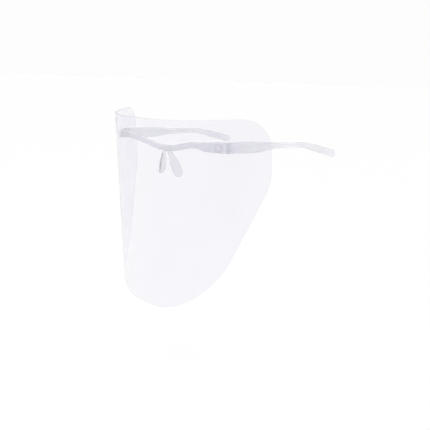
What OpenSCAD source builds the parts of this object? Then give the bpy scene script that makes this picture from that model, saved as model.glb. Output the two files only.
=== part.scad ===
// Clear face shield that is worn like spectacles.
// A thin bent sheet is buttoned by two studs to a brow frame, whose two temples fold on
// hinge pins and whose clip-in nose piece rests on the nose.
// The wearer looks along -Y, +Z is up and +X is the wearer's left. The origin lies midway
// between the two studs.

/* [Visor sheet] */
// Half of the sheet's width, measured along its bend
visor_half_w = 125.2; // [120:0.1:130]
// Height of the sheet above the studs
visor_rise = 22.6; // [20:0.1:30]
// Depth of the sheet below the studs
visor_drop = 141.8; // [130:0.1:150]
// Thickness of the sheet
sheet_t = 0.5; // [0.3:0.05:0.6]
// Distance along the bend from the centre line to each stud
stud_run = 83.1; // [82.8:0.1:84]
// Angle that the sheet has turned through where it meets a stud
bow_end = 49.2; // [48.5:0.1:50.5]
// How late the turn comes: 1 is an even bow and higher values flatten the front
bow_delay = 1.93; // [1.7:0.01:2]
// Backward lean of the sheet from its top to its bottom
visor_lean = 4.6; // [3:0.1:6]
// Radius of the two top corners
top_r = 23; // [16:0.5:28]
// Radius of the two wide bottom corners
bottom_r = 94; // [80:1:100]
// Depth below the studs at which the side edges turn inwards
side_break = 29.6; // [26:0.1:34]
// Angle of the lower side edges from the upright
side_taper = 28.3; // [27:0.1:30]
// Radius of that turn
side_r = 52; // [40:1:60]

/* [Brow frame] */
// Distance from the centre line to each hinge axis
hinge_x = 76.4; // [76.2:0.1:76.6]
// Distance of the hinge axes behind the studs
hinge_y = 8.3; // [8.1:0.1:8.6]
// Height of the brow bar between the end pieces
bar_h = 5.2; // [4.6:0.1:5.8]
// Thickness of the brow bar, front to back
bar_t = 3.2; // [2.8:0.1:3.6]
// How far the bar dips at the bridge
bridge_dip = 6.9; // [5:0.1:8]
// Height of the end pieces at the hinges
end_h = 9.2; // [8.8:0.1:9.6]

/* [Temples] */
// Distance from the hinge axis to the tip
temple_len = 124.6; // [115:0.1:135]
// Height of the temple just behind its hinge
temple_front_h = 9.4; // [9:0.1:9.8]
// Height of the temple along its slender stretch
temple_mid_h = 5.1; // [4.6:0.1:6]
// Height of the temple near its tip
temple_tip_h = 6.8; // [6:0.1:7.4]
// Downward slope of the tip stretch
tip_slope = 13; // [8:0.1:16]

/* [Nose piece] */
// Length of each nose blade
blade_len = 25.5; // [22:0.1:28]
// Greatest width of each nose blade
blade_w = 9; // [7:0.1:9.4]
// Thickness of each nose blade
blade_t = 1.6; // [1.4:0.1:2]
// Outward splay of each nose blade
blade_splay = 22; // [16:0.5:24]
// Backward lean of each nose blade
blade_lean = 18; // [12:0.5:22]

/* [Fasteners] */
// Radius of a stud's shank
stud_r = 2; // [1.8:0.05:2.1]
// Radius of a stud's low domed head
stud_head_r = 3.2; // [2.9:0.1:3.6]
// Radius of a hinge pin
pin_r = 0.75; // [0.7:0.01:0.8]

/* [Hidden] */
cut = 40;  // reach of a cut that passes through everything in its way
$fn = 64;
eps = 0.01;
tip_steps = 9;  // points round each rounded end

// Clearances
run_gap = 0.05;       // radial play of a pin in a temple's fork
snug_gap = 0.01;      // radial play of a piece held fast in the frame
stud_hole_gap = 0.2;  // radial play of a stud in the sheet
sheet_gap = 0.1;      // between the sheet and the end pieces
seat_gap = 0.02;      // under a stud's head and in front of its tail

// Visor outline, in the unrolled sheet: s runs along the bend and z upwards
side_foot_s = visor_half_w - (visor_drop - side_break) * tan(side_taper);
bottom_tangent = bottom_r * tan((90 - side_taper) / 2);
bottom_start_s = side_foot_s - bottom_tangent;
bottom_end_s = side_foot_s + bottom_tangent * sin(side_taper);
side_tangent = side_r * tan(side_taper / 2);
side_start_s = visor_half_w - side_tangent * sin(side_taper);
side_top_z = side_tangent - side_break;
top_start_s = visor_half_w - top_r;
flat_cols = 4;
bottom_cols = 14;
side_cols = 3;
corner_cols = 12;

// Brow bar and end pieces; t runs backwards along the sheet and n out of it, from a stud
bar_level = 0.4;
bar_dip_half_w = 54;
bar_mid_y = -2.3;
bar_back_y = bar_mid_y + bar_t / 2;
bar_wrap = 5;
bar_end_x = 66;
flare_start_x = 52;
flare_end_x = 76;
pad_front_t = -12;
pad_back_t = 6.4;
pad_thick = 2.65;
pad_fold_gap = 0.3;   // between an end piece's hollowed back and a temple's round nose
pad_inside_n = -pad_thick - sheet_gap - sheet_t / 2;
bar_step = 3;
bar_steps = 27;
plan_steps = 16;
room_step = 2.5;
tongue_h = 2.8;
knuckle_r = 1.8;
neck_side_n = -1.6;
neck_inner_n = -4.6;
neck_overlap = 2;

// Temples
fork_gap = 0.1;       // above and below a frame's knuckle in a temple's fork
fork_reach = 4;
fork_side_gap = 0.1;  // round a knuckle and beside its neck, which a temple turns about
temple_round = 2.3;   // radius of the front end in plan, about the hinge axis
temple_nose_r = 1.2;
temple_tip_r = 3.4;
temple_level = 0.2;
temple_outer = temple_round;
temple_inner = 1.6;
temple_straight = 20;
temple_toe_in = 2;
temple_thin = 0.3;
front_end_y = 34;
slender_y = 62;
slender_rise = 0.7;
bend_y = 91;
bend_soft = 6;
paddle_start_y = 92;
paddle_end_y = 110;
grip_mid_y = 20;      // low oval on a temple's outer face
grip_mid_z = -0.3;
grip_half_l = 12.5;
grip_half_h = 3.6;
grip_rise = 0.4;
grip_sides = 48;
temple_step = 4;

// Nose piece
saddle_w = 13;
saddle_t = 1.6;
saddle_h = 4.8;
peg_r = 0.8;
peg_x = 4.6;
peg_depth = 1.8;
peg_end_gap = 0.1;
blade_top_w = 4;
blade_full_at = 15;
blade_root = [3.4, 0.1, -8.2];
blade_toe_out = 10;
blade_steps = 10;

// Fasteners
stud_seat_n = pad_inside_n + 0.3;  // a round seat is cut flat round each stud's tail
stud_head_rim = 0.3;
dome_h = 0.6;
stud_tail_r = 2.5;
stud_tail_t = 1.1;
stud_tail_lip = 0.35;
stud_tail_taper = 0.7;
pin_head_r = 1.25;
pin_head_t = 0.5;
pin_head_z = 3.6;
pin_end_z = -3.7;

CLEAR_SHEET = [0.90, 0.90, 0.97, 0.45];
CLEAR_PLASTIC = [0.80, 0.82, 0.90, 0.75];
CLEAR_STUD = [0.75, 0.77, 0.88, 0.8];

function total(v) = v * [for (i = v) 1];
function ease(x, a, b) = let (q = max(0, min(1, (x - a) / (b - a)))) q * q * (3 - 2 * q);

// Bend of the sheet: it turns fastest at the centre line and runs straight past the studs.
function bow_angle(s) = s >= stud_run ? bow_end : bow_end * sin(90 * (s / stud_run) ^ bow_delay);
function bow_sum(s) = let (n = ceil(s) + 1, h = s / n, a = [for (k = [0:n - 1]) bow_angle((k + 0.5) * h)])
    h * [total([for (q = a) cos(q)]), total([for (q = a) sin(q)])];
stud_spot = bow_sum(stud_run);
stud_x = stud_spot[0];
function bow_point(s) = let (p = bow_sum(abs(s))) [sign(s) * p[0], p[1] - stud_spot[1]];
function bow_normal(s) = [sign(s) * sin(bow_angle(abs(s))), -cos(bow_angle(abs(s)))];

function sheet_top(s) = s <= top_start_s ? visor_rise
    : visor_rise - top_r + sqrt(max(0, top_r ^ 2 - (s - top_start_s) ^ 2));
function sheet_bottom(s) =
    s <= bottom_start_s ? -visor_drop
    : s <= bottom_end_s ? bottom_r - visor_drop - sqrt(bottom_r ^ 2 - (s - bottom_start_s) ^ 2)
    : s <= side_start_s ? (s - side_foot_s) / tan(side_taper) - visor_drop
    : side_top_z - sqrt(max(0, side_r ^ 2 - (s - visor_half_w + side_r) ^ 2));

half_columns = concat(
    [for (i = [1:flat_cols]) bottom_start_s * i / flat_cols],
    [for (i = [1:bottom_cols]) bottom_start_s + bottom_r * sin(i * (90 - side_taper) / bottom_cols)],
    [for (i = [1:side_cols]) bottom_end_s + (top_start_s - bottom_end_s) * i / side_cols],
    [for (i = [1:corner_cols]) top_start_s + top_r * sin(90 * i / corner_cols)]
);
half_count = len(half_columns);
columns = concat([for (i = [1:half_count]) -half_columns[half_count - i]], [0], half_columns);

module sheet_solid() {
    last = len(columns) - 1;
    rings = [for (s = columns)
        let (p = bow_point(s), m = bow_normal(s) * sheet_t / 2,
             top = sheet_top(abs(s)), low = sheet_bottom(abs(s)))
        [[p[0] + m[0], p[1] + m[1], low], [p[0] + m[0], p[1] + m[1], top],
         [p[0] - m[0], p[1] - m[1], top], [p[0] - m[0], p[1] - m[1], low]]];
    polyhedron(
        points = [for (ring = rings) each ring],
        faces = concat(
            [[3, 2, 1, 0]],
            [for (i = [0:last - 1]) for (k = [0:3])
                [4 * i + k, 4 * i + (k + 1) % 4, 4 * i + 4 + (k + 1) % 4, 4 * i + 4 + k]],
            [[for (k = [0:3]) 4 * last + k]]
        )
    );
}

// Places a piece at a stud: x backwards along the sheet, y up, z out through the sheet.
module at_stud(side) {
    mirror([side < 0 ? 1 : 0, 0, 0])
        rotate([visor_lean, 0, 0])
            translate([stud_x, 0, 0])
                rotate([0, 0, bow_end])
                    rotate([90, 0, 0])
                        children();
}

module at_hinge(side) {
    mirror([side < 0 ? 1 : 0, 0, 0])
        translate([hinge_x, hinge_y, 0])
            children();
}

module visor() {
    color(CLEAR_SHEET)
        difference() {
            rotate([visor_lean, 0, 0]) sheet_solid();
            for (side = [-1, 1])
                at_stud(side)
                    cylinder(r = stud_r + stud_hole_gap, h = cut / 4, center = true);
        }
}

// Front view of the bar: its level dips at the bridge and its ends flare.
function bar_mid_z(x) = bar_level - bridge_dip * cos(90 * min(abs(x), bar_dip_half_w) / bar_dip_half_w) ^ 2;
function bar_half_h(x) = bar_h / 2 + (end_h - bar_h) / 2 * ease(abs(x), flare_start_x, flare_end_x);
function bar_mid_y_at(x) = bar_mid_y - bar_wrap * (x / bar_end_x) ^ 2;

module bar_front_view() {
    xs = [for (i = [-bar_steps:bar_steps]) bar_step * i];
    polygon(concat(
        [for (x = xs) [x, bar_mid_z(x) + bar_half_h(x)]],
        [for (i = [len(xs) - 1:-1:0]) [xs[i], bar_mid_z(xs[i]) - bar_half_h(xs[i])]]
    ));
}

// Point in plan at t along the sheet and n out of it, from the stud on +X
function from_stud(t, n) = [
    stud_x + t * cos(bow_end) + n * sin(bow_end),
    t * sin(bow_end) - n * cos(bow_end)
];

module bar_plan() {
    xs = [for (i = [-plan_steps:plan_steps]) bar_end_x * i / plan_steps];
    polygon(concat(
        [for (x = xs) [x, bar_mid_y_at(x) - bar_t / 2]],
        [for (i = [len(xs) - 1:-1:0]) [xs[i], bar_mid_y_at(xs[i]) + bar_t / 2]]
    ));
    for (side = [0, 1])
        mirror([side, 0])
            polygon([
                from_stud(pad_front_t, 0), from_stud(pad_back_t, 1),
                from_stud(pad_back_t, pad_inside_n), from_stud(pad_front_t - 1, pad_inside_n)
            ]);
}

// Everything from just inside the sheet outwards, which the end pieces stay out of
module sheet_room() {
    runs = [for (i = [-9:4]) stud_run + room_step * i];
    rotate([visor_lean, 0, 0])
        linear_extrude(height = cut, center = true)
            polygon(concat(
                [for (s = runs) bow_point(s) - bow_normal(s) * (sheet_t / 2 + sheet_gap)],
                [from_stud(room_step * 4, cut / 2), from_stud(-room_step * 9, cut / 2)]
            ));
}

// Place of the hinge axis backwards along the sheet and out of it, from a stud
hinge_t = (hinge_x - stud_x) * cos(bow_end) + hinge_y * sin(bow_end);
hinge_n = (hinge_x - stud_x) * sin(bow_end) - hinge_y * cos(bow_end);
neck_depth = hinge_n - neck_inner_n;

module tongue_plan() {
    polygon([
        from_stud(pad_back_t - neck_overlap, neck_side_n), from_stud(hinge_t, neck_side_n),
        from_stud(hinge_t, neck_inner_n), from_stud(pad_back_t - neck_overlap, -pad_thick)
    ]);
}

module brow_frame() {
    color(CLEAR_PLASTIC)
        difference() {
            union() {
                difference() {
                    intersection() {
                        rotate([90, 0, 0]) linear_extrude(height = cut, center = true) bar_front_view();
                        linear_extrude(height = cut, center = true) bar_plan();
                    }
                    for (side = [-1, 1])
                        at_hinge(side)
                            cylinder(r = temple_round + pad_fold_gap, h = cut, center = true);
                }
                for (side = [-1, 1]) {
                    at_hinge(side)
                        cylinder(r = knuckle_r, h = tongue_h, center = true);
                    mirror([side < 0 ? 1 : 0, 0, 0])
                        linear_extrude(height = tongue_h, center = true) tongue_plan();
                }
            }
            for (side = [-1, 1]) {
                mirror([side < 0 ? 1 : 0, 0, 0]) sheet_room();
                at_stud(side) {
                    cylinder(r = stud_r + snug_gap, h = cut / 2, center = true);
                    translate([0, 0, stud_seat_n - cut / 4])
                        cylinder(r = stud_tail_r + stud_hole_gap, h = cut / 4);
                }
                at_hinge(side)
                    cylinder(r = pin_r + snug_gap, h = cut / 2, center = true);
                translate([side * peg_x, bar_back_y + eps, bar_mid_z(0)])
                    rotate([90, 0, 0])
                        cylinder(r = peg_r + snug_gap, h = peg_depth + peg_end_gap);
            }
        }
}

function blade_half_w(l) =
    let (w = (blade_top_w + (blade_w - blade_top_w) * ease(l, 0, blade_full_at)) / 2,
         r = blade_w / 2, past = max(0, l - blade_len + r))
    w * sqrt(max(0, 1 - (past / r) ^ 2));

module blade_outline() {
    round_from = blade_len - blade_w / 2;
    ls = concat(
        [for (i = [0:blade_steps]) round_from * i / blade_steps],
        [for (i = [1:tip_steps]) round_from + blade_w / 2 * sin(90 * i / tip_steps)]
    );
    polygon(concat(
        [for (l = ls) [blade_half_w(l), -l]],
        [for (i = [len(ls) - 2:-1:0]) [-blade_half_w(ls[i]), -ls[i]]]
    ));
}

module nose_piece() {
    color(CLEAR_PLASTIC) {
        translate([-saddle_w / 2, bar_back_y, bar_mid_z(0) - saddle_h / 2])
            cube([saddle_w, saddle_t, saddle_h]);
        for (side = [0, 1])
            mirror([side, 0, 0]) {
                translate([peg_x, bar_back_y + eps, bar_mid_z(0)])
                    rotate([90, 0, 0])
                        cylinder(r = peg_r, h = peg_depth);
                translate(blade_root)
                    rotate([0, 0, -blade_toe_out])
                        rotate([blade_lean, 0, 0])
                            rotate([0, -blade_splay, 0])
                                rotate([90, 0, 90])
                                    translate([0, 0, -blade_t / 2])
                                        linear_extrude(height = blade_t) blade_outline();
            }
    }
}

// Side view of a temple, in y and z, with a round nose and a round tip
temple_start_y = hinge_y - temple_round;
temple_end_y = hinge_y + temple_len;
function temple_mid_z(y) = let (d = y - bend_y)
    temple_level + slender_rise * ease(y, front_end_y, slender_y)
    - tan(tip_slope) * (sqrt(d ^ 2 + bend_soft ^ 2) + d) / 2;
function temple_half_h(y) =
    let (from_nose = max(0, temple_start_y + temple_nose_r - y),
         from_tip = max(0, y - temple_end_y + temple_tip_r))
    (temple_front_h - (temple_front_h - temple_mid_h) * ease(y, front_end_y, slender_y)
        + (temple_tip_h - temple_mid_h) * ease(y, paddle_start_y, paddle_end_y)) / 2
    * sqrt(max(0, 1 - (from_nose / temple_nose_r) ^ 2))
    * sqrt(max(0, 1 - (from_tip / temple_tip_r) ^ 2));

module temple_side_view() {
    body_from = temple_start_y + temple_nose_r;
    body_to = temple_end_y - temple_tip_r;
    steps = round((body_to - body_from) / temple_step);
    ys = concat(
        [for (i = [tip_steps:-1:1]) body_from - temple_nose_r * sin(90 * i / tip_steps)],
        [for (i = [0:steps]) body_from + (body_to - body_from) * i / steps],
        [for (i = [1:tip_steps]) body_to + temple_tip_r * sin(90 * i / tip_steps)]
    );
    polygon(concat(
        [for (y = ys) [y, temple_mid_z(y) + temple_half_h(y)]],
        [for (i = [len(ys) - 2:-1:0]) [ys[i], temple_mid_z(ys[i]) - temple_half_h(ys[i])]]
    ));
}

module temple_plan() {
    polygon([
        [hinge_x - temple_inner, hinge_y],
        [hinge_x + temple_outer, hinge_y],
        [hinge_x + temple_outer, hinge_y + temple_straight],
        [hinge_x + temple_outer - temple_toe_in, temple_end_y + eps],
        [hinge_x - temple_inner - temple_thin, temple_end_y + eps]
    ]);
}

// Plan of the room that a knuckle and its neck need in a temple, from rest to folded
module fork_room() {
    side = knuckle_r + fork_side_gap;
    inner = neck_depth + fork_side_gap;
    circle(r = side);
    rotate([0, 0, bow_end])
        intersection() {
            circle(r = fork_reach);
            union() {
                translate([-fork_reach, -side]) square([fork_reach, fork_reach + side]);
                square([inner, fork_reach]);
            }
        }
}

module temple(side) {
    color(CLEAR_PLASTIC)
        difference() {
            mirror([side < 0 ? 1 : 0, 0, 0]) {
                intersection() {
                    rotate([90, 0, 90])
                        linear_extrude(height = hinge_x + cut) temple_side_view();
                    union() {
                        linear_extrude(height = cut, center = true) temple_plan();
                        translate([hinge_x, hinge_y, 0])
                            cylinder(r = temple_round, h = cut, center = true);
                    }
                }
                translate([hinge_x, grip_mid_y, grip_mid_z])
                    rotate([90, 0, 90])
                        linear_extrude(height = temple_outer + grip_rise)
                            polygon([for (i = [0:grip_sides - 1])
                                [grip_half_l * cos(360 * i / grip_sides),
                                 grip_half_h * sin(360 * i / grip_sides)]]);
            }
            at_hinge(side) {
                linear_extrude(height = tongue_h + 2 * fork_gap, center = true) fork_room();
                cylinder(r = pin_r + run_gap, h = cut / 2, center = true);
                translate([0, 0, pin_head_z - run_gap])
                    cylinder(r = pin_head_r + run_gap, h = cut / 4);
            }
        }
}

module hinge_pin(side) {
    color(CLEAR_STUD)
        at_hinge(side) {
            translate([0, 0, pin_end_z])
                cylinder(r = pin_r, h = pin_head_z - pin_end_z + eps);
            translate([0, 0, pin_head_z])
                cylinder(r = pin_head_r, h = pin_head_t);
        }
}

// Turned profile of a stud: snap tail, shank and low domed head
module visor_stud(side) {
    under_head = sheet_t / 2 + seat_gap;
    tail_front = stud_seat_n - seat_gap;
    color(CLEAR_STUD)
        at_stud(side)
            rotate_extrude()
                polygon([
                    [0, tail_front - stud_tail_t],
                    [stud_tail_r - stud_tail_taper, tail_front - stud_tail_t],
                    [stud_tail_r, tail_front - stud_tail_lip],
                    [stud_tail_r, tail_front],
                    [stud_r, tail_front],
                    [stud_r, under_head],
                    [stud_head_r, under_head],
                    [stud_head_r, under_head + stud_head_rim],
                    [stud_head_r * cos(30), under_head + stud_head_rim + dome_h / 2],
                    [stud_head_r * cos(60), under_head + stud_head_rim + dome_h * sin(60)],
                    [0, under_head + stud_head_rim + dome_h]
                ]);
}

module temple_left() { temple(1); }
module temple_right() { temple(-1); }
module hinge_pin_left() { hinge_pin(1); }
module hinge_pin_right() { hinge_pin(-1); }
module visor_stud_left() { visor_stud(1); }
module visor_stud_right() { visor_stud(-1); }

visor();
brow_frame();
nose_piece();
temple_left();
temple_right();
hinge_pin_left();
hinge_pin_right();
visor_stud_left();
visor_stud_right();
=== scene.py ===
import math

import bmesh
import bpy
import numpy as np
from mathutils import Matrix, Vector
from mathutils.geometry import delaunay_2d_cdt


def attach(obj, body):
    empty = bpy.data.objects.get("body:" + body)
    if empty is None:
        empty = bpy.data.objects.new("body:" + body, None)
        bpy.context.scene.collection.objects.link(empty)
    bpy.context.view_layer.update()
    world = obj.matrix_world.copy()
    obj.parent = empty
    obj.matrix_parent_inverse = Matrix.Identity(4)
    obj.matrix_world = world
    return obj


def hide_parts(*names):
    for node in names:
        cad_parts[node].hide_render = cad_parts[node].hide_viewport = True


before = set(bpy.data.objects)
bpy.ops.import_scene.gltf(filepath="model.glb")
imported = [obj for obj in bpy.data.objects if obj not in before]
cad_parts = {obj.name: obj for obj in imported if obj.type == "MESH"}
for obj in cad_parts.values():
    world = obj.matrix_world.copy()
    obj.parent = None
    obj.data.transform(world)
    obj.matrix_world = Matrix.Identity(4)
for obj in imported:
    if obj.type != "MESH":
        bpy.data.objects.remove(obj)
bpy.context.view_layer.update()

# Lengths below are in millimetres, in the CAD frame, and repeat the CAD model's own sizes.
MM = 0.001

# Visor sheet, unrolled: s runs along the bend and z upwards from the studs
SHEET_HALF_W = 125.2
SHEET_RISE = 22.6
SHEET_DROP = 141.8
SHEET_T = 0.5
STUD_RUN = 83.1
BOW_END = math.radians(49.2)
BOW_DELAY = 1.93
SHEET_LEAN = math.radians(4.6)
TOP_R = 23.0
BOTTOM_R = 94.0
SIDE_BREAK = 29.6
SIDE_TAPER = math.radians(28.3)
SIDE_R = 52.0
SHEET_GAP = 0.1
SHEET_CELL = 3.0
SHEET_EDGE_R = 0.14
STUD_HOLE_R = 2.2
OUTLINE_STEP = 1.5
RIM_CLEAR, HOLE_CLEAR = 1.6, 4.4
HOLE_RING_R, HOLE_RING_COUNT = 3.2, 24
NO_AREA = 0.002
TINY = 1e-12

# Brow frame
HINGE_X, HINGE_Y = 76.4, 8.3
BAR_H, BAR_T = 5.2, 3.2
BRIDGE_DIP = 6.9
END_H = 9.2
BAR_LEVEL = 0.4
BAR_DIP_HALF_W = 54.0
BAR_MID_Y = -2.3
BAR_WRAP = 5.0
BAR_END_X = 66.0
BAR_BEND_X = 63.0
BAR_THIN_X, BAR_THIN_END_X = 60.0, 68.0
FLARE_START_X, FLARE_END_X = 52.0, 76.0
PAD_FRONT_T, PAD_BACK_T = -12.0, 6.4
PAD_THICK = 2.65
PAD_INSIDE_N = -PAD_THICK - SHEET_GAP - SHEET_T / 2
PAD_MID_N = PAD_INSIDE_N + PAD_THICK / 2
TONGUE_H = 2.8
KNUCKLE_R = 1.8
NECK_SIDE_N, NECK_INNER_N = -1.6, -4.6
NECK_OVERLAP = 2.0
PAD_FOLD_GAP = 0.3
STUD_R = 2.0
STUD_SEAT_N = PAD_INSIDE_N + 0.3
STUD_TAIL_R = 2.5
STUD_HEAD_R, STUD_HEAD_RIM, STUD_DOME_H = 3.2, 0.3, 0.6
SEAT_GAP = 0.02
SNUG = 0.03
TAIL_GAP, SINK_GAP = 0.2, 0.08
PIN_R = 0.75
PIN_END_Z, PIN_HEAD_T = -3.7, 0.5
PIN_HEAD_Z, PIN_HEAD_R = 3.6, 1.25

# Temples
TEMPLE_LEN = 124.6
TEMPLE_FRONT_H, TEMPLE_MID_H, TEMPLE_TIP_H = 9.4, 5.1, 6.8
TIP_SLOPE = math.radians(13.0)
TEMPLE_ROUND = 2.3
TEMPLE_NOSE_R, TEMPLE_TIP_R = 1.2, 3.4
TEMPLE_LEVEL = 0.2
TEMPLE_OUTER, TEMPLE_INNER = 2.3, 1.6
TEMPLE_TOE_IN, TEMPLE_THIN, TEMPLE_TIP_THIN = 2.0, 0.3, 2.2
TEMPLE_STRAIGHT = 20.0
FRONT_END_Y, SLENDER_Y, SLENDER_RISE = 34.0, 62.0, 0.7
BEND_Y, BEND_SOFT = 91.0, 6.0
PADDLE_START_Y, PADDLE_END_Y = 92.0, 110.0
FORK_REACH, FORK_H, FORK_GAP = 4.0, 3.0, 0.15
GRIP_MID_Y, GRIP_MID_Z = 20.0, -0.3
GRIP_HALF_L, GRIP_HALF_H, GRIP_RISE = 12.5, 3.6, 0.4

# Nose piece
SADDLE = (13.0, 1.6, 4.8)
BLADE_LEN, BLADE_W, BLADE_T = 25.5, 9.0, 1.6
BLADE_TOP_W, BLADE_FULL_AT, BLADE_BOW = 4.0, 15.0, 0.35
BLADE_ROOT = Vector((3.4, 0.1, -8.2))
BLADE_SPLAY, BLADE_LEAN, BLADE_TOE_OUT = math.radians(22), math.radians(18), math.radians(10)

# Fineness of the moulded pieces, and how far a cutting rod reaches past what it cuts
VOXEL = 0.28
RING = 40
ROUND = 48
SMOOTHING = 6
REACH = 8.0
UP = Vector((0, 0, 1))
HINGE = Vector((HINGE_X, HINGE_Y, 0))


# ---------------------------------------------------------------- small helpers

def ease(x, a, b):
    """Rises smoothly from 0 at a to 1 at b."""
    q = max(0.0, min(1.0, (x - a) / (b - a)))
    return q * q * (3 - 2 * q)


def new_object(name, verts, faces):
    mesh = bpy.data.meshes.new(name)
    mesh.from_pydata([Vector(v) * MM for v in verts], [], faces)
    mesh.validate()
    obj = bpy.data.objects.new(name, mesh)
    bpy.context.scene.collection.objects.link(obj)
    return obj


def settle(obj):
    """Applies every modifier of obj to its mesh."""
    graph = bpy.context.evaluated_depsgraph_get()
    mesh = bpy.data.meshes.new_from_object(obj.evaluated_get(graph), depsgraph=graph)
    obj.modifiers.clear()
    old = obj.data
    obj.data = mesh
    mesh.name = obj.name
    bpy.data.meshes.remove(old)


def face_outwards(obj):
    bm = bmesh.new()
    bm.from_mesh(obj.data)
    bmesh.ops.recalc_face_normals(bm, faces=bm.faces)
    bm.to_mesh(obj.data)
    bm.free()


def smooth(obj, sharp_from=None):
    """Shades obj smooth, with edges sharper than sharp_from degrees kept sharp."""
    obj.data.polygons.foreach_set("use_smooth", [True] * len(obj.data.polygons))
    if sharp_from is not None:
        obj.data.set_sharp_from_angle(angle=math.radians(sharp_from))


def mirrored(points):
    return [Vector((-p[0], p[1], p[2])) for p in points]


def loft(name, rings):
    """A closed solid through equal rings of points, with a flat cap on each end."""
    count = len(rings[0])
    verts = [p for ring in rings for p in ring]
    faces = []
    for i in range(len(rings) - 1):
        for k in range(count):
            m = (k + 1) % count
            faces.append((i * count + k, i * count + m, (i + 1) * count + m, (i + 1) * count + k))
    faces.append(tuple(range(count)))
    faces.append(tuple(range((len(rings) - 1) * count, len(rings) * count)))
    obj = new_object(name, verts, faces)
    face_outwards(obj)
    return obj


def section(centre, across, upwards, half_a, half_u, power, count=RING):
    """A ring shaped like a soft-cornered rectangle, or a circle where power is 2."""
    ring = []
    for k in range(count):
        a = 2 * math.pi * k / count
        c, s = math.cos(a), math.sin(a)
        u = math.copysign(abs(c) ** (2 / power), c) * half_a
        v = math.copysign(abs(s) ** (2 / power), s) * half_u
        ring.append(Vector(centre) + Vector(across) * u + Vector(upwards) * v)
    return ring


def rod(start, end, radius):
    along = (end - start).normalized()
    side = along.orthogonal().normalized()
    return loft("rod", [section(p, side, along.cross(side), radius, radius, 2, ROUND)
                        for p in (start, end)])


def cut_away(obj, tool):
    cut = obj.modifiers.new("cut", "BOOLEAN")
    cut.operation = "DIFFERENCE"
    cut.solver = "EXACT"
    cut.object = tool
    settle(obj)
    bpy.data.objects.remove(tool)


def drill(obj, flip, start, end, radius):
    """Cuts a round hole from start to end. flip is list on +X, and mirrored on -X."""
    cut_away(obj, rod(*flip([Vector(start), Vector(end)]), radius))


def weld(name, parts):
    """One closed skin round overlapping solids, with softly rounded edges."""
    bm = bmesh.new()
    for part in parts:
        bm.from_mesh(part.data)
    obj = new_object(name, [], [])
    bm.to_mesh(obj.data)
    bm.free()
    for part in parts:
        bpy.data.objects.remove(part)
    remesh = obj.modifiers.new("skin", "REMESH")
    remesh.mode = "VOXEL"
    remesh.voxel_size = VOXEL * MM
    remesh.use_smooth_shade = True
    soften = obj.modifiers.new("soften", "CORRECTIVE_SMOOTH")
    soften.factor = 0.5
    soften.iterations = SMOOTHING
    soften.use_only_smooth = True
    settle(obj)
    smooth(obj)
    return obj


def finish_piece(obj, body, slot, material, *nodes):
    """Puts obj on its body in place of its nodes. The visor brings its own two materials."""
    if material is not None:
        obj.data.materials.clear()
        obj.data.materials.append(material)
    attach(obj, body)
    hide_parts(*nodes)


# ---------------------------------------------------------------- the sheet's bend

BOW_STEPS = 800
_runs = np.linspace(0, STUD_RUN, BOW_STEPS + 1)
_angles = BOW_END * np.sin(np.pi / 2 * (_runs / STUD_RUN) ** BOW_DELAY)
_mid = (_angles[1:] + _angles[:-1]) / 2
_bow_x = np.concatenate([[0], np.cumsum(np.cos(_mid))]) * STUD_RUN / BOW_STEPS
_bow_y = np.concatenate([[0], np.cumsum(np.sin(_mid))]) * STUD_RUN / BOW_STEPS
STUD_X = float(_bow_x[-1])


def bow_angle(s):
    """How far the sheet has turned at s. It stays straight past the studs."""
    t = min(abs(s) / STUD_RUN, 1.0)
    return BOW_END * math.sin(math.pi / 2 * t ** BOW_DELAY)


def bow_point(s):
    """The sheet's middle layer in plan at s, with the studs at y 0."""
    run = abs(s)
    past = max(0.0, run - STUD_RUN)
    x = float(np.interp(run, _runs, _bow_x)) + past * math.cos(BOW_END)
    y = float(np.interp(run, _runs, _bow_y)) - float(_bow_y[-1]) + past * math.sin(BOW_END)
    return math.copysign(x, s), y


def bow_normal(s):
    a = bow_angle(s)
    return math.copysign(math.sin(a), s), -math.cos(a)


def lean(p):
    """Tips a point with the sheet, round the line through the studs."""
    c, s = math.cos(SHEET_LEAN), math.sin(SHEET_LEAN)
    return Vector((p[0], p[1] * c - p[2] * s, p[1] * s + p[2] * c))


def on_sheet(s, z, n=0.0):
    """Point at s and z on the sheet, n out of its middle layer."""
    x, y = bow_point(s)
    nx, ny = bow_normal(s)
    return lean((x + n * nx, y + n * ny, z))


def sheet_normal(s):
    nx, ny = bow_normal(s)
    return lean((nx, ny, 0.0))


def from_stud(t, n):
    """Point in plan at t backwards along the sheet and n out of it, from the stud on +X."""
    c, s = math.cos(BOW_END), math.sin(BOW_END)
    return Vector((STUD_X + t * c + n * s, t * s - n * c, 0.0))


# Place of the hinge axis, backwards along the sheet and out of it, from a stud
HINGE_T = (HINGE_X - STUD_X) * math.cos(BOW_END) + HINGE_Y * math.sin(BOW_END)
HINGE_N = (HINGE_X - STUD_X) * math.sin(BOW_END) - HINGE_Y * math.cos(BOW_END)


def at_stud(t, z, n):
    """Point at t backwards along the sheet, z up it and n out of it, from the stud on +X."""
    p = from_stud(t, n)
    return lean((p[0], p[1], z))


# ---------------------------------------------------------------- visor

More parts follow.
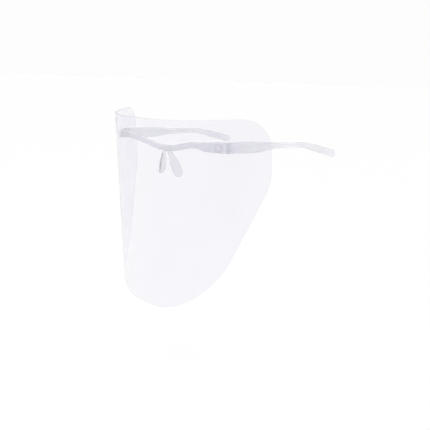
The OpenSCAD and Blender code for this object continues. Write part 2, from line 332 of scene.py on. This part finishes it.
def sheet_outline():
    """Points of the sheet's edge with their outward directions, anticlockwise in s and z."""
    side_foot = SHEET_HALF_W - (SHEET_DROP - SIDE_BREAK) * math.tan(SIDE_TAPER)
    swing = math.pi / 2 - SIDE_TAPER
    bottom_start = side_foot - BOTTOM_R * math.tan(swing / 2)
    side_top = SIDE_R * math.tan(SIDE_TAPER / 2) - SIDE_BREAK
    half = []

    def arc(cs, cz, radius, first, last):
        count = max(2, round(abs(last - first) * radius / OUTLINE_STEP))
        for i in range(count + 1):
            a = first + (last - first) * i / count
            half.append(((cs + radius * math.cos(a), cz + radius * math.sin(a)),
                         (math.cos(a), math.sin(a))))

    def run(p, q, out):
        count = max(2, round(math.dist(p, q) / OUTLINE_STEP))
        for i in range(1, count):
            half.append(((p[0] + (q[0] - p[0]) * i / count, p[1] + (q[1] - p[1]) * i / count), out))

    run((-OUTLINE_STEP / 2, -SHEET_DROP), (bottom_start, -SHEET_DROP), (0.0, -1.0))
    arc(bottom_start, BOTTOM_R - SHEET_DROP, BOTTOM_R, -math.pi / 2, -SIDE_TAPER)
    low = half[-1][0]
    high = (SHEET_HALF_W - SIDE_R + SIDE_R * math.cos(SIDE_TAPER),
            side_top - SIDE_R * math.sin(SIDE_TAPER))
    run(low, high, (math.cos(SIDE_TAPER), -math.sin(SIDE_TAPER)))
    arc(SHEET_HALF_W - SIDE_R, side_top, SIDE_R, -SIDE_TAPER, 0.0)
    run((SHEET_HALF_W, side_top), (SHEET_HALF_W, SHEET_RISE - TOP_R), (1.0, 0.0))
    arc(SHEET_HALF_W - TOP_R, SHEET_RISE - TOP_R, TOP_R, 0.0, math.pi / 2)
    run((SHEET_HALF_W - TOP_R, SHEET_RISE), (OUTLINE_STEP / 4, SHEET_RISE), (0.0, 1.0))
    right = [h for h in half if h[0][0] > OUTLINE_STEP / 5]
    left = [((-p[0], p[1]), (-d[0], d[1])) for p, d in reversed(right)]
    return right + left


def hole_outline(centre_s):
    """Points round a stud's hole, clockwise, with directions that point into the hole."""
    loop = []
    for k in range(ROUND):
        a = -2 * math.pi * k / ROUND
        c, s = math.cos(a), math.sin(a)
        loop.append(((centre_s + STUD_HOLE_R * c, STUD_HOLE_R * s), (-c, -s)))
    return loop


def from_holes(s, z):
    """Distance of a point from the middle of the nearer stud hole."""
    return min(math.hypot(s - c, z) for c in (-STUD_RUN, STUD_RUN))


def in_outline(s, z, edge):
    """True for a point inside edge, which has an odd number of its lines to the point's right."""
    nxt = np.roll(edge, -1, axis=0)
    over = (edge[:, 1] > z) != (nxt[:, 1] > z)
    cross = edge[:, 0] + (z - edge[:, 1]) / (nxt[:, 1] - edge[:, 1] + TINY) \
        * (nxt[:, 0] - edge[:, 0])
    return bool(np.count_nonzero(over & (cross > s)) % 2)


def inside_sheet(edge):
    """Points of a staggered grid on the sheet, and a ring of points round each hole."""
    (s0, z0), (s1, z1) = edge.min(axis=0), edge.max(axis=0)
    rows = int((z1 - z0) / SHEET_CELL)
    cols = int((s1 - s0) / SHEET_CELL)
    found = []
    for j in range(1, rows):
        z = z0 + (z1 - z0) * j / rows
        for i in range(1, cols):
            s = s0 + (s1 - s0) * (i + 0.5 * (j % 2)) / cols
            from_rim = np.hypot(edge[:, 0] - s, edge[:, 1] - z).min()
            if in_outline(s, z, edge) and from_rim > RIM_CLEAR and from_holes(s, z) > HOLE_CLEAR:
                found.append((s, z))
    for c in (-STUD_RUN, STUD_RUN):
        for k in range(HOLE_RING_COUNT):
            a = 2 * math.pi * (k + 0.5) / HOLE_RING_COUNT
            found.append((c + HOLE_RING_R * math.cos(a), HOLE_RING_R * math.sin(a)))
    return found


def rim_profile():
    """Inset, height and tilt of the steps round the sheet's edge, from its front to its back."""
    front = []
    for a in (math.radians(degrees) for degrees in (90, 60, 30, 0)):
        front.append((SHEET_EDGE_R * (1 - math.cos(a)),
                      SHEET_T / 2 - SHEET_EDGE_R * (1 - math.sin(a)), a))
    return front + [(inset, -height, -a) for inset, height, a in reversed(front)]


def rim_point(s, z, ds, dz, height, a):
    """Place and normal of a point on the rim, whose outward direction is ds, dz."""
    along = (on_sheet(s + 0.01, z) - on_sheet(s - 0.01, z)).normalized()
    outwards = along * ds + lean(UP) * dz
    return on_sheet(s, z, height), sheet_normal(s) * math.sin(a) + outwards * math.cos(a)


def spans_rim(ids, counts, flat):
    """True for a triangle that closes a hole or lies along the edge with no area."""
    first = 0
    for count in counts:
        if all(first <= i < first + count for i in ids):
            a, b, c = (flat[i] for i in ids)
            return first > 0 or abs((b - a).cross(c - a)) < NO_AREA
        first += count
    return False


def make_visor(sheet_mat, rim_shade_mat):
    """The bent sheet: rounded rims first, then its front and back in matching triangles."""
    loops = [sheet_outline(), hole_outline(STUD_RUN), hole_outline(-STUD_RUN)]
    edge = np.array([p for p, _ in loops[0]])
    profile = rim_profile()
    steps = len(profile) - 1
    flat_inset = profile[0][0]
    verts, normals, faces = [], [], []
    flat, edges, front_of, back_of = [], [], {}, {}
    for loop in loops:
        first, base, count = len(verts), len(flat), len(loop)
        for inset, height, a in profile:
            for (s, z), (ds, dz) in loop:
                place, normal = rim_point(s - ds * inset, z - dz * inset, ds, dz, height, a)
                verts.append(place)
                normals.append(normal)
        for r in range(steps):
            for k in range(count):
                m = (k + 1) % count
                faces.append((first + r * count + k, first + (r + 1) * count + k,
                              first + (r + 1) * count + m, first + r * count + m))
        for k, ((s, z), (ds, dz)) in enumerate(loop):
            flat.append(Vector((s - ds * flat_inset, z - dz * flat_inset)))
            edges.append((base + k, base + (k + 1) % count))
            front_of[base + k] = first + k
            back_of[base + k] = first + steps * count + k
    for s, z in inside_sheet(edge):
        for side, table in ((1, front_of), (-1, back_of)):
            table[len(flat)] = len(verts)
            verts.append(on_sheet(s, z, side * SHEET_T / 2))
            normals.append(sheet_normal(s) * side)
        flat.append(Vector((s, z)))
    points, _, tris, origin, _, _ = delaunay_2d_cdt(flat, edges, [], 0, 1e-6)
    source = [o[0] if o else None for o in origin]
    counts = [len(loop) for loop in loops]
    for tri in tris:
        s, z = sum((points[i] for i in tri), Vector((0, 0))) / 3
        ids = [source[i] for i in tri]
        on_material = from_holes(s, z) >= STUD_HOLE_R and in_outline(s, z, edge)
        if None in ids or not on_material or spans_rim(ids, counts, flat):
            continue
        faces.append(tuple(front_of[i] for i in ids))
        faces.append(tuple(back_of[i] for i in reversed(ids)))
    obj = new_object("visor_sheet", verts, faces)
    face_outwards(obj)
    smooth(obj)
    obj.data.materials.append(sheet_mat)
    obj.data.materials.append(rim_shade_mat)
    # The outer rim takes the second material. Its darker tint is painted shade for the dark line
    # along the sheet's edge.
    outer_rim = steps * counts[0]
    obj.data.polygons.foreach_set("material_index",
                                  [int(i < outer_rim) for i in range(len(faces))])
    obj.data.normals_split_custom_set_from_vertices([n.normalized() for n in normals])
    return obj


# ---------------------------------------------------------------- brow frame

def bar_mid_z(x):
    share = min(abs(x), BAR_DIP_HALF_W) / BAR_DIP_HALF_W
    return BAR_LEVEL - BRIDGE_DIP * math.cos(math.pi / 2 * share) ** 2


def bar_half_h(x):
    return BAR_H / 2 + (END_H - BAR_H) / 2 * ease(abs(x), FLARE_START_X, FLARE_END_X)


def bar_path():
    """Centre line of the bar in plan, from the bridge to the back of the end piece on +X."""
    bar = []
    for x in np.linspace(0, BAR_BEND_X, 45)[:-2]:
        bar.append(Vector((x, BAR_MID_Y - BAR_WRAP * (x / BAR_END_X) ** 2, 0)))
    corner = from_stud(PAD_FRONT_T + 1.0, PAD_MID_N)
    pad = [from_stud(t, PAD_MID_N) for t in np.arange(PAD_FRONT_T + 3.0, PAD_BACK_T + 0.01, 0.65)]
    start, stop = bar[-1], pad[0]
    turn = []
    for u in np.linspace(0, 1, 9)[1:-1]:
        turn.append(start * (1 - u) ** 2 + corner * 2 * u * (1 - u) + stop * u * u)
    return bar + turn + pad


def bar_rings():
    """Sections of the whole bar, from the end piece on -X to the one on +X."""
    path = bar_path()
    last = len(path) - 1
    half = []
    for i, p in enumerate(path):
        along = Vector((1, 0, 0))
        if i > 0:
            along = (path[min(i + 1, last)] - path[i - 1]).normalized()
        across = Vector((along[1], -along[0], 0))
        thick = BAR_T + (PAD_THICK - BAR_T) * ease(p[0], BAR_THIN_X, BAR_THIN_END_X)
        mid = Vector((p[0], p[1], bar_mid_z(p[0])))
        half.append(section(mid, across, UP, thick / 2, bar_half_h(p[0]), 4.2))
    return [mirrored(ring) for ring in reversed(half[1:])] + half


def make_knuckle(flip):
    rings = [section(HINGE + UP * k * TONGUE_H / 2, (1, 0, 0), (0, 1, 0),
                     KNUCKLE_R, KNUCKLE_R, 2) for k in (-1, 1)]
    return loft("knuckle", [flip(ring) for ring in rings])


def make_neck(flip):
    """What carries a knuckle, from inside the end piece to beside the hinge axis."""
    outwards = from_stud(0, 1) - from_stud(0, 0)
    rings = [section(from_stud(t, (NECK_SIDE_N + n) / 2), outwards, UP,
                     (NECK_SIDE_N - n) / 2, TONGUE_H / 2, 7)
             for t, n in ((PAD_BACK_T - NECK_OVERLAP, -PAD_THICK), (HINGE_T, NECK_INNER_N))]
    return loft("neck", [flip(ring) for ring in rings])


def make_brow_frame():
    bar = loft("bar", bar_rings())
    parts = []
    for flip in (list, mirrored):
        drill(bar, flip, HINGE - UP * REACH, HINGE + UP * REACH, TEMPLE_ROUND + PAD_FOLD_GAP)
        parts += [make_knuckle(flip), make_neck(flip)]
    obj = weld("brow_bar", parts + [bar])
    for flip in (list, mirrored):
        drill(obj, flip, at_stud(0, 0, REACH / 2), at_stud(0, 0, -REACH), STUD_R + SNUG)
        drill(obj, flip, at_stud(0, 0, STUD_SEAT_N), at_stud(0, 0, -REACH), STUD_TAIL_R + TAIL_GAP)
        drill(obj, flip, HINGE + UP * REACH, HINGE - UP * REACH, PIN_R + SNUG)
    smooth(obj, 40)
    return obj


# ---------------------------------------------------------------- nose piece

def blade_half_w(run):
    """Half the width of a blade at run down it, with its round end."""
    width = (BLADE_TOP_W + (BLADE_W - BLADE_TOP_W) * ease(run, 0, BLADE_FULL_AT)) / 2
    radius = BLADE_W / 2
    past = max(0.0, run - BLADE_LEN + radius)
    return width * math.sqrt(max(0.0, 1 - (past / radius) ** 2))


def make_saddle():
    """The thin plate behind the bridge, thinned at both ends and curled back a little."""
    half_w, half_d, half_h = (size / 2 for size in SADDLE)
    mid = Vector((0, BAR_MID_Y + BAR_T / 2 + half_d, bar_mid_z(0)))
    rings = []
    for x, k in ((-half_w, 0.7), (-6.1, 0.9), (-5.2, 1), (-2.6, 1), (0, 1),
                 (2.6, 1), (5.2, 1), (6.1, 0.9), (half_w, 0.7)):
        share = (x / half_w) ** 2
        rings.append(section(mid + Vector((x, 0.3 * share, 0.35 * share)), (0, 1, 0), UP,
                             half_d * k, half_h * k, 3.6))
    return loft("saddle", rings)


def blade_rings():
    turn = (Matrix.Rotation(-BLADE_TOE_OUT, 3, "Z") @ Matrix.Rotation(BLADE_LEAN, 3, "X")
            @ Matrix.Rotation(-BLADE_SPLAY, 3, "Y"))
    across, broad = turn @ Vector((1, 0, 0)), turn @ Vector((0, 1, 0))
    round_end = BLADE_LEN - BLADE_W / 2
    runs = list(np.linspace(0, round_end, 22))
    runs += [round_end + BLADE_W / 2 * math.sin(math.pi / 2 * i / 12) for i in range(1, 12)]
    rings = []
    for run in runs:
        half = max(0.25, blade_half_w(run))
        thick = BLADE_T / 2 * min(1.0, 0.35 + 0.65 * half / 2.4)
        bow = BLADE_BOW * math.sin(math.pi * run / BLADE_LEN)
        rings.append(section(BLADE_ROOT + turn @ Vector((bow, 0, -run)), across, broad,
                             thick, half, 2.5))
    return rings


def make_nose_piece():
    rings = blade_rings()
    blades = [loft("blade", rings), loft("blade", [mirrored(ring) for ring in rings])]
    return weld("nose_rest", [make_saddle()] + blades)


# ---------------------------------------------------------------- temples

TEMPLE_START_Y = HINGE_Y - TEMPLE_ROUND
TEMPLE_END_Y = HINGE_Y + TEMPLE_LEN


def temple_mid_z(y):
    """Height of a temple's middle at y. It bends down softly towards its tip."""
    d = y - BEND_Y
    return (TEMPLE_LEVEL + SLENDER_RISE * ease(y, FRONT_END_Y, SLENDER_Y)
            - math.tan(TIP_SLOPE) * (math.hypot(d, BEND_SOFT) + d) / 2)


def temple_half_h(y):
    nose = max(0.0, TEMPLE_START_Y + TEMPLE_NOSE_R - y) / TEMPLE_NOSE_R
    tip = max(0.0, y - TEMPLE_END_Y + TEMPLE_TIP_R) / TEMPLE_TIP_R
    full = (TEMPLE_FRONT_H - (TEMPLE_FRONT_H - TEMPLE_MID_H) * ease(y, FRONT_END_Y, SLENDER_Y)
            + (TEMPLE_TIP_H - TEMPLE_MID_H) * ease(y, PADDLE_START_Y, PADDLE_END_Y))
    return full / 2 * math.sqrt(max(0.0, 1 - nose ** 2)) * math.sqrt(max(0.0, 1 - tip ** 2))


def temple_walls(y):
    """Inner and outer x of a temple at y."""
    share = max(0.0, (y - HINGE_Y - TEMPLE_STRAIGHT) / (TEMPLE_LEN - TEMPLE_STRAIGHT))
    outer = HINGE_X + TEMPLE_OUTER - TEMPLE_TOE_IN * share
    inner = HINGE_X - TEMPLE_INNER - TEMPLE_THIN * (y - HINGE_Y) / TEMPLE_LEN
    if y < HINGE_Y:
        round_x = math.sqrt(max(0.05, TEMPLE_ROUND ** 2 - (HINGE_Y - y) ** 2))
        return HINGE_X - round_x, HINGE_X + round_x
    inner -= (TEMPLE_ROUND - TEMPLE_INNER) * (1 - ease(y, HINGE_Y, HINGE_Y + 3))
    tip = max(0.0, y - TEMPLE_END_Y + TEMPLE_TIP_THIN) / TEMPLE_TIP_THIN
    shrink = (outer - inner) / 2 * (1 - math.sqrt(max(0.02, 1 - tip ** 2)))
    return inner + shrink, outer - shrink


def make_grip(flip):
    """The low oval on a temple's outer face."""
    rings = []
    for k in range(-23, 24):
        a = math.pi / 2 * k / 24
        y = GRIP_MID_Y + GRIP_HALF_L * math.sin(a)
        rings.append(section((HINGE_X + TEMPLE_OUTER, y, GRIP_MID_Z), (1, 0, 0), UP,
                             GRIP_RISE, GRIP_HALF_H * math.cos(a), 3))
    return loft("grip", [flip(ring) for ring in rings])


def neck_sweep():
    """Outline in plan of the room that a knuckle's neck needs in a temple, from rest to folded."""
    side = KNUCKLE_R + FORK_GAP
    inner = HINGE_N - NECK_INNER_N + FORK_GAP
    first = math.pi + math.asin(side / FORK_REACH)
    last = math.acos(inner / FORK_REACH)
    points = [(0.0, -side)]
    for i in range(25):
        a = first + (last - first) * i / 24
        points.append((FORK_REACH * math.cos(a), FORK_REACH * math.sin(a)))
    points += [(inner, 0.0), (0.0, 0.0)]
    c, s = math.cos(BOW_END), math.sin(BOW_END)
    return [(HINGE_X + u * c - v * s, HINGE_Y + u * s + v * c) for u, v in points]


def make_arm(flip):
    nose_end, tip_start = TEMPLE_START_Y + TEMPLE_NOSE_R, TEMPLE_END_Y - TEMPLE_TIP_R
    ys = [nose_end - TEMPLE_NOSE_R * math.sin(math.pi / 2 * i / 14) for i in range(13, 0, -1)]
    ys += list(np.linspace(nose_end, tip_start, 70))
    ys += [tip_start + TEMPLE_TIP_R * math.sin(math.pi / 2 * i / 12) for i in range(1, 12)]
    rings = []
    for y in ys:
        inner, outer = temple_walls(y)
        half_h = max(0.3, temple_half_h(y))
        rings.append(section(((inner + outer) / 2, y, temple_mid_z(y)), (1, 0, 0), UP,
                             (outer - inner) / 2, half_h, 3.2))
    return loft("arm", [flip(ring) for ring in rings])


def make_temple(flip, name):
    """A temple with its fork, which is closed outwards, and the bore and sink for its pin."""
    obj = weld(name, [make_arm(flip), make_grip(flip)])
    half = UP * FORK_H / 2
    drill(obj, flip, HINGE - half, HINGE + half, KNUCKLE_R + FORK_GAP)
    room = [[Vector((x, y, 0)) + half * k for x, y in neck_sweep()] for k in (-1, 1)]
    cut_away(obj, loft("fork", [flip(ring) for ring in room]))
    drill(obj, flip, HINGE - UP * REACH, HINGE + UP * REACH, PIN_R + SNUG)
    drill(obj, flip, HINGE + UP * PIN_HEAD_Z, HINGE + UP * REACH, PIN_HEAD_R + SINK_GAP)
    smooth(obj, 40)
    return obj


# ---------------------------------------------------------------- studs and pins

def lathe(name, profile, place):
    """A solid turned from (radius, height) points; place puts (x, y, height) in the CAD frame."""
    turns = [2 * math.pi * k / ROUND for k in range(ROUND)]
    obj = loft(name, [[place(radius * math.cos(a), radius * math.sin(a), height) for a in turns]
                      for radius, height in profile])
    smooth(obj, 35)
    return obj


def make_stud(side, name):
    """A push stud: snap tail behind the end piece, shank, and low domed head in front."""
    under_head = SHEET_T / 2 + SEAT_GAP
    dome_foot = under_head + STUD_HEAD_RIM
    tail = STUD_SEAT_N - SEAT_GAP
    profile = [(0.3, tail - 1.1), (1.5, tail - 1.1), (1.8, tail - 1.08), (2.2, tail - 0.75),
               (2.46, tail - 0.42), (STUD_TAIL_R, tail - 0.3), (STUD_TAIL_R, tail - 0.06),
               (2.44, tail), (STUD_R, tail), (STUD_R, under_head),
               (STUD_HEAD_R - 0.06, under_head), (STUD_HEAD_R, under_head + 0.06),
               (STUD_HEAD_R, dome_foot)]
    for i in range(1, 12):
        a = math.pi / 2 * i / 12
        profile.append((STUD_HEAD_R * math.cos(a), dome_foot + STUD_DOME_H * math.sin(a)))

    def place(u, v, n):
        x, y, z = at_stud(u, v, n)
        return Vector((side * x, y, z))

    return lathe(name, profile, place)


def make_pin(side, name):
    """A headed pin down the hinge axis, with its head in the temple's sink."""
    under, top = PIN_HEAD_Z + SEAT_GAP, PIN_HEAD_Z + PIN_HEAD_T
    profile = [(0.2, PIN_END_Z), (PIN_R - 0.15, PIN_END_Z), (PIN_R, PIN_END_Z + 0.15),
               (PIN_R, under), (PIN_HEAD_R - 0.05, under),
               (PIN_HEAD_R, under + 0.05), (PIN_HEAD_R, top - 0.2),
               (PIN_HEAD_R - 0.06, top - 0.08), (PIN_HEAD_R - 0.2, top), (0.3, top)]
    return lathe(name, profile, lambda u, v, n: Vector((side * HINGE_X + u, HINGE_Y + v, n)))


# ---------------------------------------------------------------- materials

MOULDED_LAMPS = (0.97, 0.97, 0.975)


def link(tree, a, b):
    tree.links.new(a, b)


def add_noise(tree, place, scale, detail):
    noise = tree.nodes.new("ShaderNodeTexNoise")
    noise.inputs["Scale"].default_value = scale
    noise.inputs["Detail"].default_value = detail
    link(tree, place, noise.inputs["Vector"])
    return noise.outputs["Fac"]


def add_ramp(tree, value, *stops):
    """Turns a value into a colour. Each of the two stops is a position and its colour."""
    ramp = tree.nodes.new("ShaderNodeValToRGB")
    for element, (position, colour) in zip(ramp.color_ramp.elements, stops):
        element.position = position
        element.color = (*colour, 1)
    link(tree, value, ramp.inputs["Fac"])
    return ramp.outputs["Color"]


def clear_plastic(name, pale, deep, rough, scale, bump, ior, lamps, clear=1.0, stretch=(1, 1, 1)):
    """Clear plastic whose tint, gloss and surface vary softly. Lamp light passes it by lamps."""
    mat = bpy.data.materials.new(name)
    mat.use_nodes = True
    tree = mat.node_tree
    tree.nodes.clear()
    add = tree.nodes.new
    mapping = add("ShaderNodeMapping")
    mapping.inputs["Scale"].default_value = stretch
    link(tree, add("ShaderNodeTexCoord").outputs["Object"], mapping.inputs["Vector"])
    cloud = add_noise(tree, mapping.outputs["Vector"], scale, 3)
    fine = add_noise(tree, mapping.outputs["Vector"], scale * 6, 4)
    gloss = add("ShaderNodeMapRange")
    gloss.inputs["To Min"].default_value, gloss.inputs["To Max"].default_value = rough
    link(tree, fine, gloss.inputs["Value"])
    dents = add("ShaderNodeBump")
    dents.inputs["Strength"].default_value = bump
    dents.inputs["Distance"].default_value = MM
    link(tree, cloud, dents.inputs["Height"])
    shader = add("ShaderNodeBsdfPrincipled")
    shader.inputs["Transmission Weight"].default_value = clear
    shader.inputs["IOR"].default_value = ior
    link(tree, add_ramp(tree, cloud, (0.3, deep), (0.7, pale)), shader.inputs["Base Color"])
    link(tree, gloss.outputs["Result"], shader.inputs["Roughness"])
    link(tree, dents.outputs["Normal"], shader.inputs["Normal"])
    through = add("ShaderNodeBsdfTransparent")
    through.inputs["Color"].default_value = (*lamps, 1)
    mix = add("ShaderNodeMixShader")
    link(tree, add("ShaderNodeLightPath").outputs["Is Shadow Ray"], mix.inputs[0])
    link(tree, shader.outputs["BSDF"], mix.inputs[1])
    link(tree, through.outputs["BSDF"], mix.inputs[2])
    link(tree, mix.outputs["Shader"], add("ShaderNodeOutputMaterial").inputs["Surface"])
    return mat


# ---------------------------------------------------------------- studio

FLOOR_Z, FLOOR_R, FLOOR_TONE = -0.20, 30, 0.90
SKY_LOW_TONE, SKY_HIGH_TONE = 0.98, 0.46
CAMERA_AT = (0.54033, -0.36784, 0.05829)
CAMERA_AZIMUTH, CAMERA_ELEVATION, CAMERA_ROLL = 51.847, 10.714, 2.030
CAMERA_FOCAL_PX, FRAME_PX, SENSOR = 745.1, 430, 36.0


def make_camera():
    a, e, r = (math.radians(v) for v in (CAMERA_AZIMUTH, CAMERA_ELEVATION, CAMERA_ROLL))
    back = Vector((math.sin(a) * math.cos(e), -math.cos(a) * math.cos(e), math.sin(e)))
    right = Vector((math.cos(a), math.sin(a), 0))
    up = back.cross(right)
    x = right * math.cos(r) + up * math.sin(r)
    y = up * math.cos(r) - right * math.sin(r)
    data = bpy.data.cameras.new("camera")
    data.sensor_width = SENSOR
    data.lens = CAMERA_FOCAL_PX / FRAME_PX * SENSOR
    data.clip_start = 0.01
    camera = bpy.data.objects.new("camera", data)
    bpy.context.scene.collection.objects.link(camera)
    camera.matrix_world = Matrix.Translation(CAMERA_AT) @ Matrix((x, y, back)).transposed().to_4x4()
    bpy.context.scene.camera = camera


def make_floor():
    obj = new_object("floor", [], [])
    bm = bmesh.new()
    bmesh.ops.create_circle(bm, cap_ends=True, segments=96, radius=FLOOR_R)
    bm.to_mesh(obj.data)
    bm.free()
    obj.location.z = FLOOR_Z
    mat = bpy.data.materials.new("floor_paper")
    mat.use_nodes = True
    tree = mat.node_tree
    shader = tree.nodes.new("ShaderNodeBsdfDiffuse")
    shader.inputs["Color"].default_value = (FLOOR_TONE, FLOOR_TONE, FLOOR_TONE, 1)
    link(tree, shader.outputs["BSDF"], tree.nodes["Material Output"].inputs["Surface"])
    tree.nodes.remove(tree.nodes["Principled BSDF"])
    obj.data.materials.append(mat)


def make_sun(name, towards, power, softness):
    data = bpy.data.lights.new(name, "SUN")
    data.energy = power
    data.angle = math.radians(softness)
    light = bpy.data.objects.new(name, data)
    bpy.context.scene.collection.objects.link(light)
    light.rotation_euler = Vector(towards).to_track_quat("-Z", "Y").to_euler()


def make_softbox(name, at, size, power):
    data = bpy.data.lights.new(name, "AREA")
    data.shape = "RECTANGLE"
    data.size, data.size_y = size
    data.energy = power
    light = bpy.data.objects.new(name, data)
    bpy.context.scene.collection.objects.link(light)
    light.location = at
    light.visible_camera = False
    light.rotation_euler = (-Vector(at)).to_track_quat("-Z", "Y").to_euler()


def make_world():
    world = bpy.data.worlds.new("studio")
    bpy.context.scene.world = world
    world.use_nodes = True
    tree = world.node_tree
    sky = tree.nodes["Background"]
    split = tree.nodes.new("ShaderNodeSeparateXYZ")
    place = tree.nodes.new("ShaderNodeTexCoord")
    link(tree, place.outputs["Generated"], split.inputs["Vector"])
    colour = add_ramp(tree, split.outputs["Z"], (0.15, (SKY_LOW_TONE,) * 3),
                      (0.85, (SKY_HIGH_TONE,) * 3))
    link(tree, colour, sky.inputs["Color"])
    sky.inputs["Strength"].default_value = 1.0


# ---------------------------------------------------------------- build

make_camera()
make_world()
make_floor()
make_sun("overhead", towards=(-0.25, 0.35, -1), power=1.68, softness=50)
make_softbox("strip", at=(0.5, -1.1, 0.75), size=(0.25, 0.9), power=1.2)

sheet_mat = clear_plastic("clear_sheet", (0.93, 0.925, 0.958), (0.895, 0.89, 0.933),
                          rough=(0.0, 0.03), scale=14, bump=0.02, ior=1.5,
                          lamps=(0.95, 0.95, 0.97), stretch=(1, 1, 0.25))
# Rim of the sheet: its darker, bluer tint is painted shade for the dark line that reflection and
# refraction draw along a clear sheet's edge. Its higher roughness belongs to the cut edge itself.
rim_shade_mat = clear_plastic("clear_sheet_rim_shade", (0.80, 0.80, 0.86), (0.70, 0.70, 0.78),
                         rough=(0.1, 0.2), scale=200, bump=0.02, ior=1.5,
                         lamps=(0.9, 0.9, 0.93))
frame_mat = clear_plastic("clear_frame", (0.88, 0.88, 0.905), (0.82, 0.82, 0.855),
                          rough=(0.08, 0.16), scale=70, bump=0.04, ior=1.2,
                          lamps=MOULDED_LAMPS, clear=0.55)
temple_mat = clear_plastic("clear_temple", (0.90, 0.90, 0.92), (0.84, 0.84, 0.87),
                           rough=(0.08, 0.16), scale=70, bump=0.04, ior=1.2,
                           lamps=MOULDED_LAMPS, clear=0.55)
nose_mat = clear_plastic("clear_nose", (0.90, 0.90, 0.915), (0.83, 0.83, 0.855),
                         rough=(0.1, 0.2), scale=90, bump=0.05, ior=1.46,
                         lamps=(0.9, 0.9, 0.93), clear=0.8)
stud_mat = clear_plastic("clear_stud", (0.76, 0.76, 0.80), (0.70, 0.70, 0.745),
                         rough=(0.06, 0.12), scale=120, bump=0.03, ior=1.4,
                         lamps=MOULDED_LAMPS, clear=0.55)
pin_mat = clear_plastic("clear_pin", (0.99, 0.99, 0.995), (0.97, 0.97, 0.98),
                        rough=(0.06, 0.12), scale=150, bump=0.03, ior=1.2,
                        lamps=MOULDED_LAMPS)

finish_piece(make_visor(sheet_mat, rim_shade_mat), "front", "clear_sheet", None, "visor")
finish_piece(make_brow_frame(), "front", "clear_frame", frame_mat, "brow_frame")
finish_piece(make_nose_piece(), "front", "clear_nose", nose_mat, "nose_piece")
for flip, end in ((list, "left"), (mirrored, "right")):
    finish_piece(make_temple(flip, "temple_arm_" + end), end + "_arm", "clear_temple",
                 temple_mat, "temple_" + end)
for side, end in ((1, "left"), (-1, "right")):
    finish_piece(make_stud(side, "visor_button_" + end), "front", "clear_stud", stud_mat,
                 "visor_stud_" + end)
    finish_piece(make_pin(side, "fold_pin_" + end), "front", "clear_pin", pin_mat,
                 "hinge_pin_" + end)

bpy.context.scene.view_settings.view_transform = "Standard"
